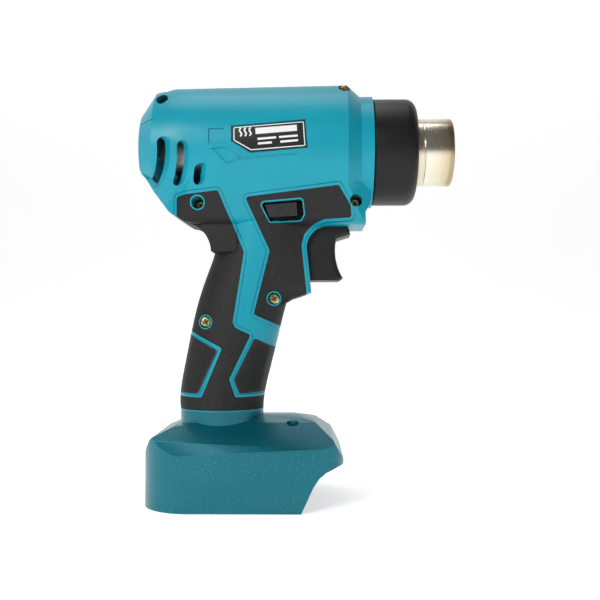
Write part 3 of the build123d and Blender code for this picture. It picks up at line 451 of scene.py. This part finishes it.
class HEATGUN_OT_knurling(bpy.types.Operator):
    """Rows of small pyramids standing on the knurled pads"""
    bl_idname = "heatgun.knurling"
    bl_label = "Knurling"

    def execute(self, context):
        pitch, height = 1.15 * MM, 0.32 * MM
        for source in ("rear_pad_right", "rear_pad_left", "front_pad_right", "front_pad_left"):
            side = -1 if source.endswith("right") else 1
            tree = skin_of(source)
            low, high = low_high(source)
            bm = bmesh.new()
            rows = int((high.z - low.z) / (pitch * 0.5))
            columns = int((high.x - low.x) / pitch)
            for row in range(rows + 1):
                z = low.z + row * pitch * 0.5
                for column in range(columns + 1):
                    x = low.x + (column + 0.5 * (row % 2)) * pitch
                    half = pitch * 0.5
                    guard = [on_skin(tree, x + a * pitch, z + b * pitch, side)[0]
                             for a, b in ((-1, 0), (0, -1), (1, 0), (0, 1))]
                    base = [on_skin(tree, x + a * half, z + b * half, side)[0]
                            for a, b in ((-1, 0), (0, -1), (1, 0), (0, 1))]
                    top, normal = on_skin(tree, x, z, side)
                    if top is None or None in base or None in guard:
                        continue
                    if max(abs(spot.y - top.y) for spot in guard) > 2.2 * MM:
                        continue
                    foot = [bm.verts.new(spot - normal * 0.05 * MM) for spot in base]
                    peak = bm.verts.new(top + normal * height)
                    for k in range(4):
                        bm.faces.new((foot[k], foot[(k + 1) % 4], peak))
                    bm.faces.new(foot[::-1])
            bmesh.ops.recalc_face_normals(bm, faces=bm.faces)
            piece = link_mesh(bm, source + "_knurls")
            finish_piece(piece, "root", (), material_for("knurled_rubber"))
        return {"FINISHED"}


class HEATGUN_OT_nozzle(bpy.types.Operator):
    """Steel nozzle tube with its rolled rim, and the black sleeve with its ring line"""
    bl_idname = "heatgun.nozzle"
    bl_label = "Nozzle and sleeve"

    def execute(self, context):
        back, tip = TUBE_LOW.x, TUBE_HIGH.x
        outer, inner = 17.0 * MM, 16.2 * MM
        flange = (TUBE_HIGH.z - TUBE_LOW.z) / 2
        groove = tip - 14.7 * MM
        profile = [(back, inner), (back, flange), (back + MM, flange), (back + MM, outer)]
        for k in range(9):
            turn = math.pi * k / 8
            profile.append((groove - 0.5 * MM * math.cos(turn), outer - 0.34 * MM * math.sin(turn)))
        centre_x, centre_r, bead = tip - 1.0 * MM, outer - 1.0 * MM, 1.0 * MM
        for k in range(13):
            turn = math.radians(90 - 130 * k / 12)
            profile.append((centre_x + bead * math.cos(turn), centre_r + bead * math.sin(turn)))
        profile += [(centre_x - 0.4 * MM, inner - 0.3 * MM), (tip - 2.6 * MM, inner)]
        piece = spun(profile, "nozzle_tube_rolled")
        finish_piece(piece, "root", ("nozzle_tube",), material_for("nozzle_steel"))

        piece = merged_copy("front_sleeve", "front_sleeve_moulding", 0.25 * MM)
        finish_piece(piece, "root", ("front_sleeve",),
                     material_for("sleeve_plastic"))
        ring_x, ring_r = SLEEVE_LOW.x + 3.4 * MM, (SLEEVE_HIGH.z - SLEEVE_LOW.z) / 2
        ring = [(ring_x - 0.25 * MM, ring_r - 0.3 * MM)]
        for k in range(9):
            turn = math.pi * k / 8
            ring.append((ring_x - 0.25 * MM * math.cos(turn), ring_r - 0.2 * MM + 0.18 * MM * math.sin(turn)))
        ring.append((ring_x + 0.25 * MM, ring_r - 0.3 * MM))
        piece = spun(ring, "front_sleeve_ring")
        finish_piece(piece, "root", (), material_for("sleeve_plastic"))
        return {"FINISHED"}


class HEATGUN_OT_nameplates(bpy.types.Operator):
    """Black nameplates with a printed border, heat waves and plain bars"""
    bl_idname = "heatgun.nameplates"
    bl_label = "Nameplates"

    def execute(self, context):
        for side, source in ((-1, "nameplate_right"), (1, "nameplate_left")):
            low, high = low_high(source)
            tree = skin_of(source)
            piece = merged_copy(source, source + "_film", 0.12 * MM)
            finish_piece(piece, "root", (source,),
                         material_for("nameplate_print"))

            def at(right, up):
                return (low.x + right * MM, low.z + up * MM)

            border = [at(1.0, 11.6), at(33.8, 14.3), at(34.6, 2.9), at(9.1, 1.0), at(1.1, 5.6),
                      at(1.0, 11.6)]
            strokes = [(border, 0.45 * MM)]
            for right in (4.0, 6.2, 8.4):
                wave = []
                for k in range(13):
                    share = k / 12
                    wave.append(at(right + 0.06 * right * share + 0.55 * math.sin(math.tau * share),
                                   7.1 + 4.1 * share + 0.06 * right))
                strokes.append((wave, 0.75 * MM))
            strokes.append(([at(11.2, 9.9), at(30.8, 11.4)], 3.0 * MM))
            strokes.append(([at(12.2, 6.1), at(21.0, 6.8)], 1.0 * MM))
            strokes.append(([at(22.4, 6.9), at(31.2, 7.6)], 1.0 * MM))
            strokes.append(([at(12.4, 3.9), at(19.0, 4.4)], 1.0 * MM))
            strokes.append(([at(23.0, 4.7), at(31.4, 5.4)], 1.0 * MM))
            piece = printed(tree, side, strokes, source + "_print")
            finish_piece(piece, "root", (), material_for("print_white"))
        return {"FINISHED"}


class HEATGUN_OT_controls(bpy.types.Operator):
    """Trigger and selector with their moulded edges, and the selector's two raised bars"""
    bl_idname = "heatgun.controls"
    bl_label = "Trigger and selector"

    def execute(self, context):
        piece = merged_copy("trigger", "trigger_moulding", 0.6 * MM, segments=3)
        finish_piece(piece, "trigger", ("trigger",),
                     material_for("trigger_plastic"))
        piece = merged_copy("selector_bar", "selector_moulding", 0.35 * MM, segments=3)
        finish_piece(piece, "selector", ("selector_bar",),
                     material_for("selector_plastic"))
        piece = merged_copy("trigger_spring", "trigger_spring_wire")
        finish_piece(piece, "root", ("trigger_spring",), material_for("shaft_steel"))
        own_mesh(piece)

        tree = skin_of("selector_bar")
        for side, name in ((-1, "selector_mark_right"), (1, "selector_mark_left")):
            x, z = GUIDE_MID.x, GUIDE_MID.z
            strokes = [([(x - 2.4 * MM, z + rise), (x + 2.4 * MM, z + rise + 0.25 * MM)], 0.5 * MM)
                       for rise in (-0.9 * MM, 0.6 * MM)]
            mark = printed(tree, side, strokes, name, 0.1 * MM)
            finish_piece(mark, "selector", (), material_for("grip_rubber"))
        return {"FINISHED"}


class HEATGUN_OT_screws(bpy.types.Operator):
    """Painted shade of the cross recesses: thin dark crosses laid on the heads of the housing screws"""
    bl_idname = "heatgun.screws"
    bl_label = "Screw recess shade"

    def execute(self, context):
        bm = bmesh.new()
        bm.from_mesh(frame["nodes"]["housing_screws"].data)
        bmesh.ops.remove_doubles(bm, verts=bm.verts, dist=2e-6)
        spots = []
        for face in bm.faces:
            if face.normal.y < -0.99 and abs(face.calc_center_median().y - SCREW_LOW.y) < 0.05 * MM:
                for vert in face.verts:
                    for group in spots:
                        if (vert.co - group[0]).length < 2.2 * SCREW_HEAD_R:
                            group.append(vert.co.copy())
                            break
                    else:
                        spots.append([vert.co.copy()])
        bm.free()
        # Painted shade: each cross is a flat dark sheet laid just outside the screw head. It stands for the
        # shadow in a recess that is not cut into the head.
        cross = bmesh.new()
        for group in spots:
            low_x, high_x = min(p.x for p in group), max(p.x for p in group)
            low_z, high_z = min(p.z for p in group), max(p.z for p in group)
            x, z = (low_x + high_x) / 2, (low_z + high_z) / 2
            for turn in (35, 125):
                a = math.radians(turn)
                along, across = Vector((math.cos(a), 0, math.sin(a))), Vector((-math.sin(a), 0, math.cos(a)))
                corners = []
                for u, v in ((-1.6, -0.28), (1.6, -0.28), (1.6, 0.28), (-1.6, 0.28)):
                    corners.append(cross.verts.new(Vector((x, SCREW_LOW.y - 0.015 * MM, z))
                                                   + along * u * MM + across * v * MM))
                face = cross.faces.new(corners)
        bmesh.ops.recalc_face_normals(cross, faces=cross.faces)
        bmesh.ops.solidify(cross, geom=list(cross.faces), thickness=0.03 * MM)
        piece = link_mesh(cross, "housing_screw_recess_shade")
        finish_piece(piece, "root", (), material_for("recess_dark"))
        piece = merged_copy("housing_screws", "housing_screws_turned", 0.3 * MM, segments=3)
        finish_piece(piece, "root", ("housing_screws",), material_for("screw_zinc"))
        return {"FINISHED"}


# ---------------------------------------------------------------- stage
class HEATGUN_OT_stage(bpy.types.Operator):
    """Pale floor, soft lights and the camera"""
    bl_idname = "heatgun.stage"
    bl_label = "Studio"

    def execute(self, context):
        bm = bmesh.new()
        sweep = [(-3.0, 0.0), (0.9, 0.0)]
        for k in range(1, 17):
            turn = math.radians(90 * k / 16)
            sweep.append((0.9 + 0.9 * math.sin(turn), 0.9 - 0.9 * math.cos(turn)))
        sweep.append((1.8, 4.0))
        start = [bm.verts.new((-4.0, y, z)) for y, z in sweep]
        edges = [bm.edges.new(pair) for pair in zip(start, start[1:])]
        grown = bmesh.ops.extrude_edge_only(bm, edges=edges)["geom"]
        bmesh.ops.translate(bm, vec=(8.0, 0, 0), verts=[g for g in grown if isinstance(g, bmesh.types.BMVert)])
        bmesh.ops.recalc_face_normals(bm, faces=bm.faces)
        for face in bm.faces:
            face.smooth = True
            if face.normal.z < -0.01 or face.normal.y > 0.01:
                face.normal_flip()
        floor = link_mesh(bm, "studio_floor")
        paper, tree, shader = new_material("Studio paper")
        shader.inputs["Base Color"].default_value = (0.86, 0.86, 0.86, 1)
        shader.inputs["Roughness"].default_value = 0.95
        shader.inputs["Specular IOR Level"].default_value = 0.1
        shader.inputs["Emission Color"].default_value = (1, 1, 1, 1)
        shader.inputs["Emission Strength"].default_value = 0.6
        floor.data.materials.append(paper)

        target = Vector((0.0, 0.0, 0.11))
        for name, place, size, power in (
                ("Key softbox", (-0.45, -0.8, 0.55), 0.35, 5.5),
                ("Fill softbox", (0.9, -0.7, 0.45), 0.9, 0.8),
                ("Top softbox", (-0.1, 0.05, 1.2), 0.6, 3.5)):
            lamp = bpy.data.lights.new(name, "AREA")
            lamp.size = size
            lamp.energy = power
            holder = bpy.data.objects.new(name, lamp)
            holder.location = place
            holder.rotation_euler = (target - Vector(place)).to_track_quat("-Z", "Y").to_euler()
            context.scene.collection.objects.link(holder)

        world = bpy.data.worlds.new("Studio air")
        world.use_nodes = True
        world.node_tree.nodes["Background"].inputs["Color"].default_value = (1, 1, 1, 1)
        world.node_tree.nodes["Background"].inputs["Strength"].default_value = 0.12
        context.scene.world = world
        context.scene.view_settings.view_transform = "Standard"

        lens = bpy.data.cameras.new("Product camera")
        lens.sensor_width = 36.0
        lens.lens = 50.1
        camera = bpy.data.objects.new("Product camera", lens)
        camera.location = (0.00635, -0.425, 0.0898)
        aim = Vector((0.00125, 0.0, 0.1))
        camera.rotation_euler = (aim - camera.location).to_track_quat("-Z", "Y").to_euler()
        context.scene.collection.objects.link(camera)
        context.scene.camera = camera
        return {"FINISHED"}


class HEATGUN_PT_panel(bpy.types.Panel):
    """Lists the pieces of the heat gun"""
    bl_idname = "HEATGUN_PT_panel"
    bl_label = "Heat gun"
    bl_space_type = "VIEW_3D"
    bl_region_type = "UI"
    bl_category = "Heat gun"

    def draw(self, context):
        for name in ("shell_colour", "foot_colour", "rubber_colour", "edge_round"):
            self.layout.prop(context.scene.heat_gun_shell, name)
        for maker in OPERATORS:
            self.layout.operator(maker.bl_idname)


OPERATORS = (HEATGUN_OT_finishes, HEATGUN_OT_casings, HEATGUN_OT_rubber, HEATGUN_OT_knurling,
             HEATGUN_OT_nozzle, HEATGUN_OT_nameplates, HEATGUN_OT_controls, HEATGUN_OT_screws,
             HEATGUN_OT_stage)
CLASSES = (ShellSettings, *OPERATORS, HEATGUN_PT_panel)


def register():
    for made in CLASSES:
        bpy.utils.register_class(made)
    bpy.types.Scene.heat_gun_shell = bpy.props.PointerProperty(type=ShellSettings)


def unregister():
    del bpy.types.Scene.heat_gun_shell
    for made in reversed(CLASSES):
        bpy.utils.unregister_class(made)


def main():
    register()
    for maker in OPERATORS:
        maker_call = getattr(bpy.ops.heatgun, maker.bl_idname.split(".")[1])
        maker_call()


if __name__ == "__main__":
    main()
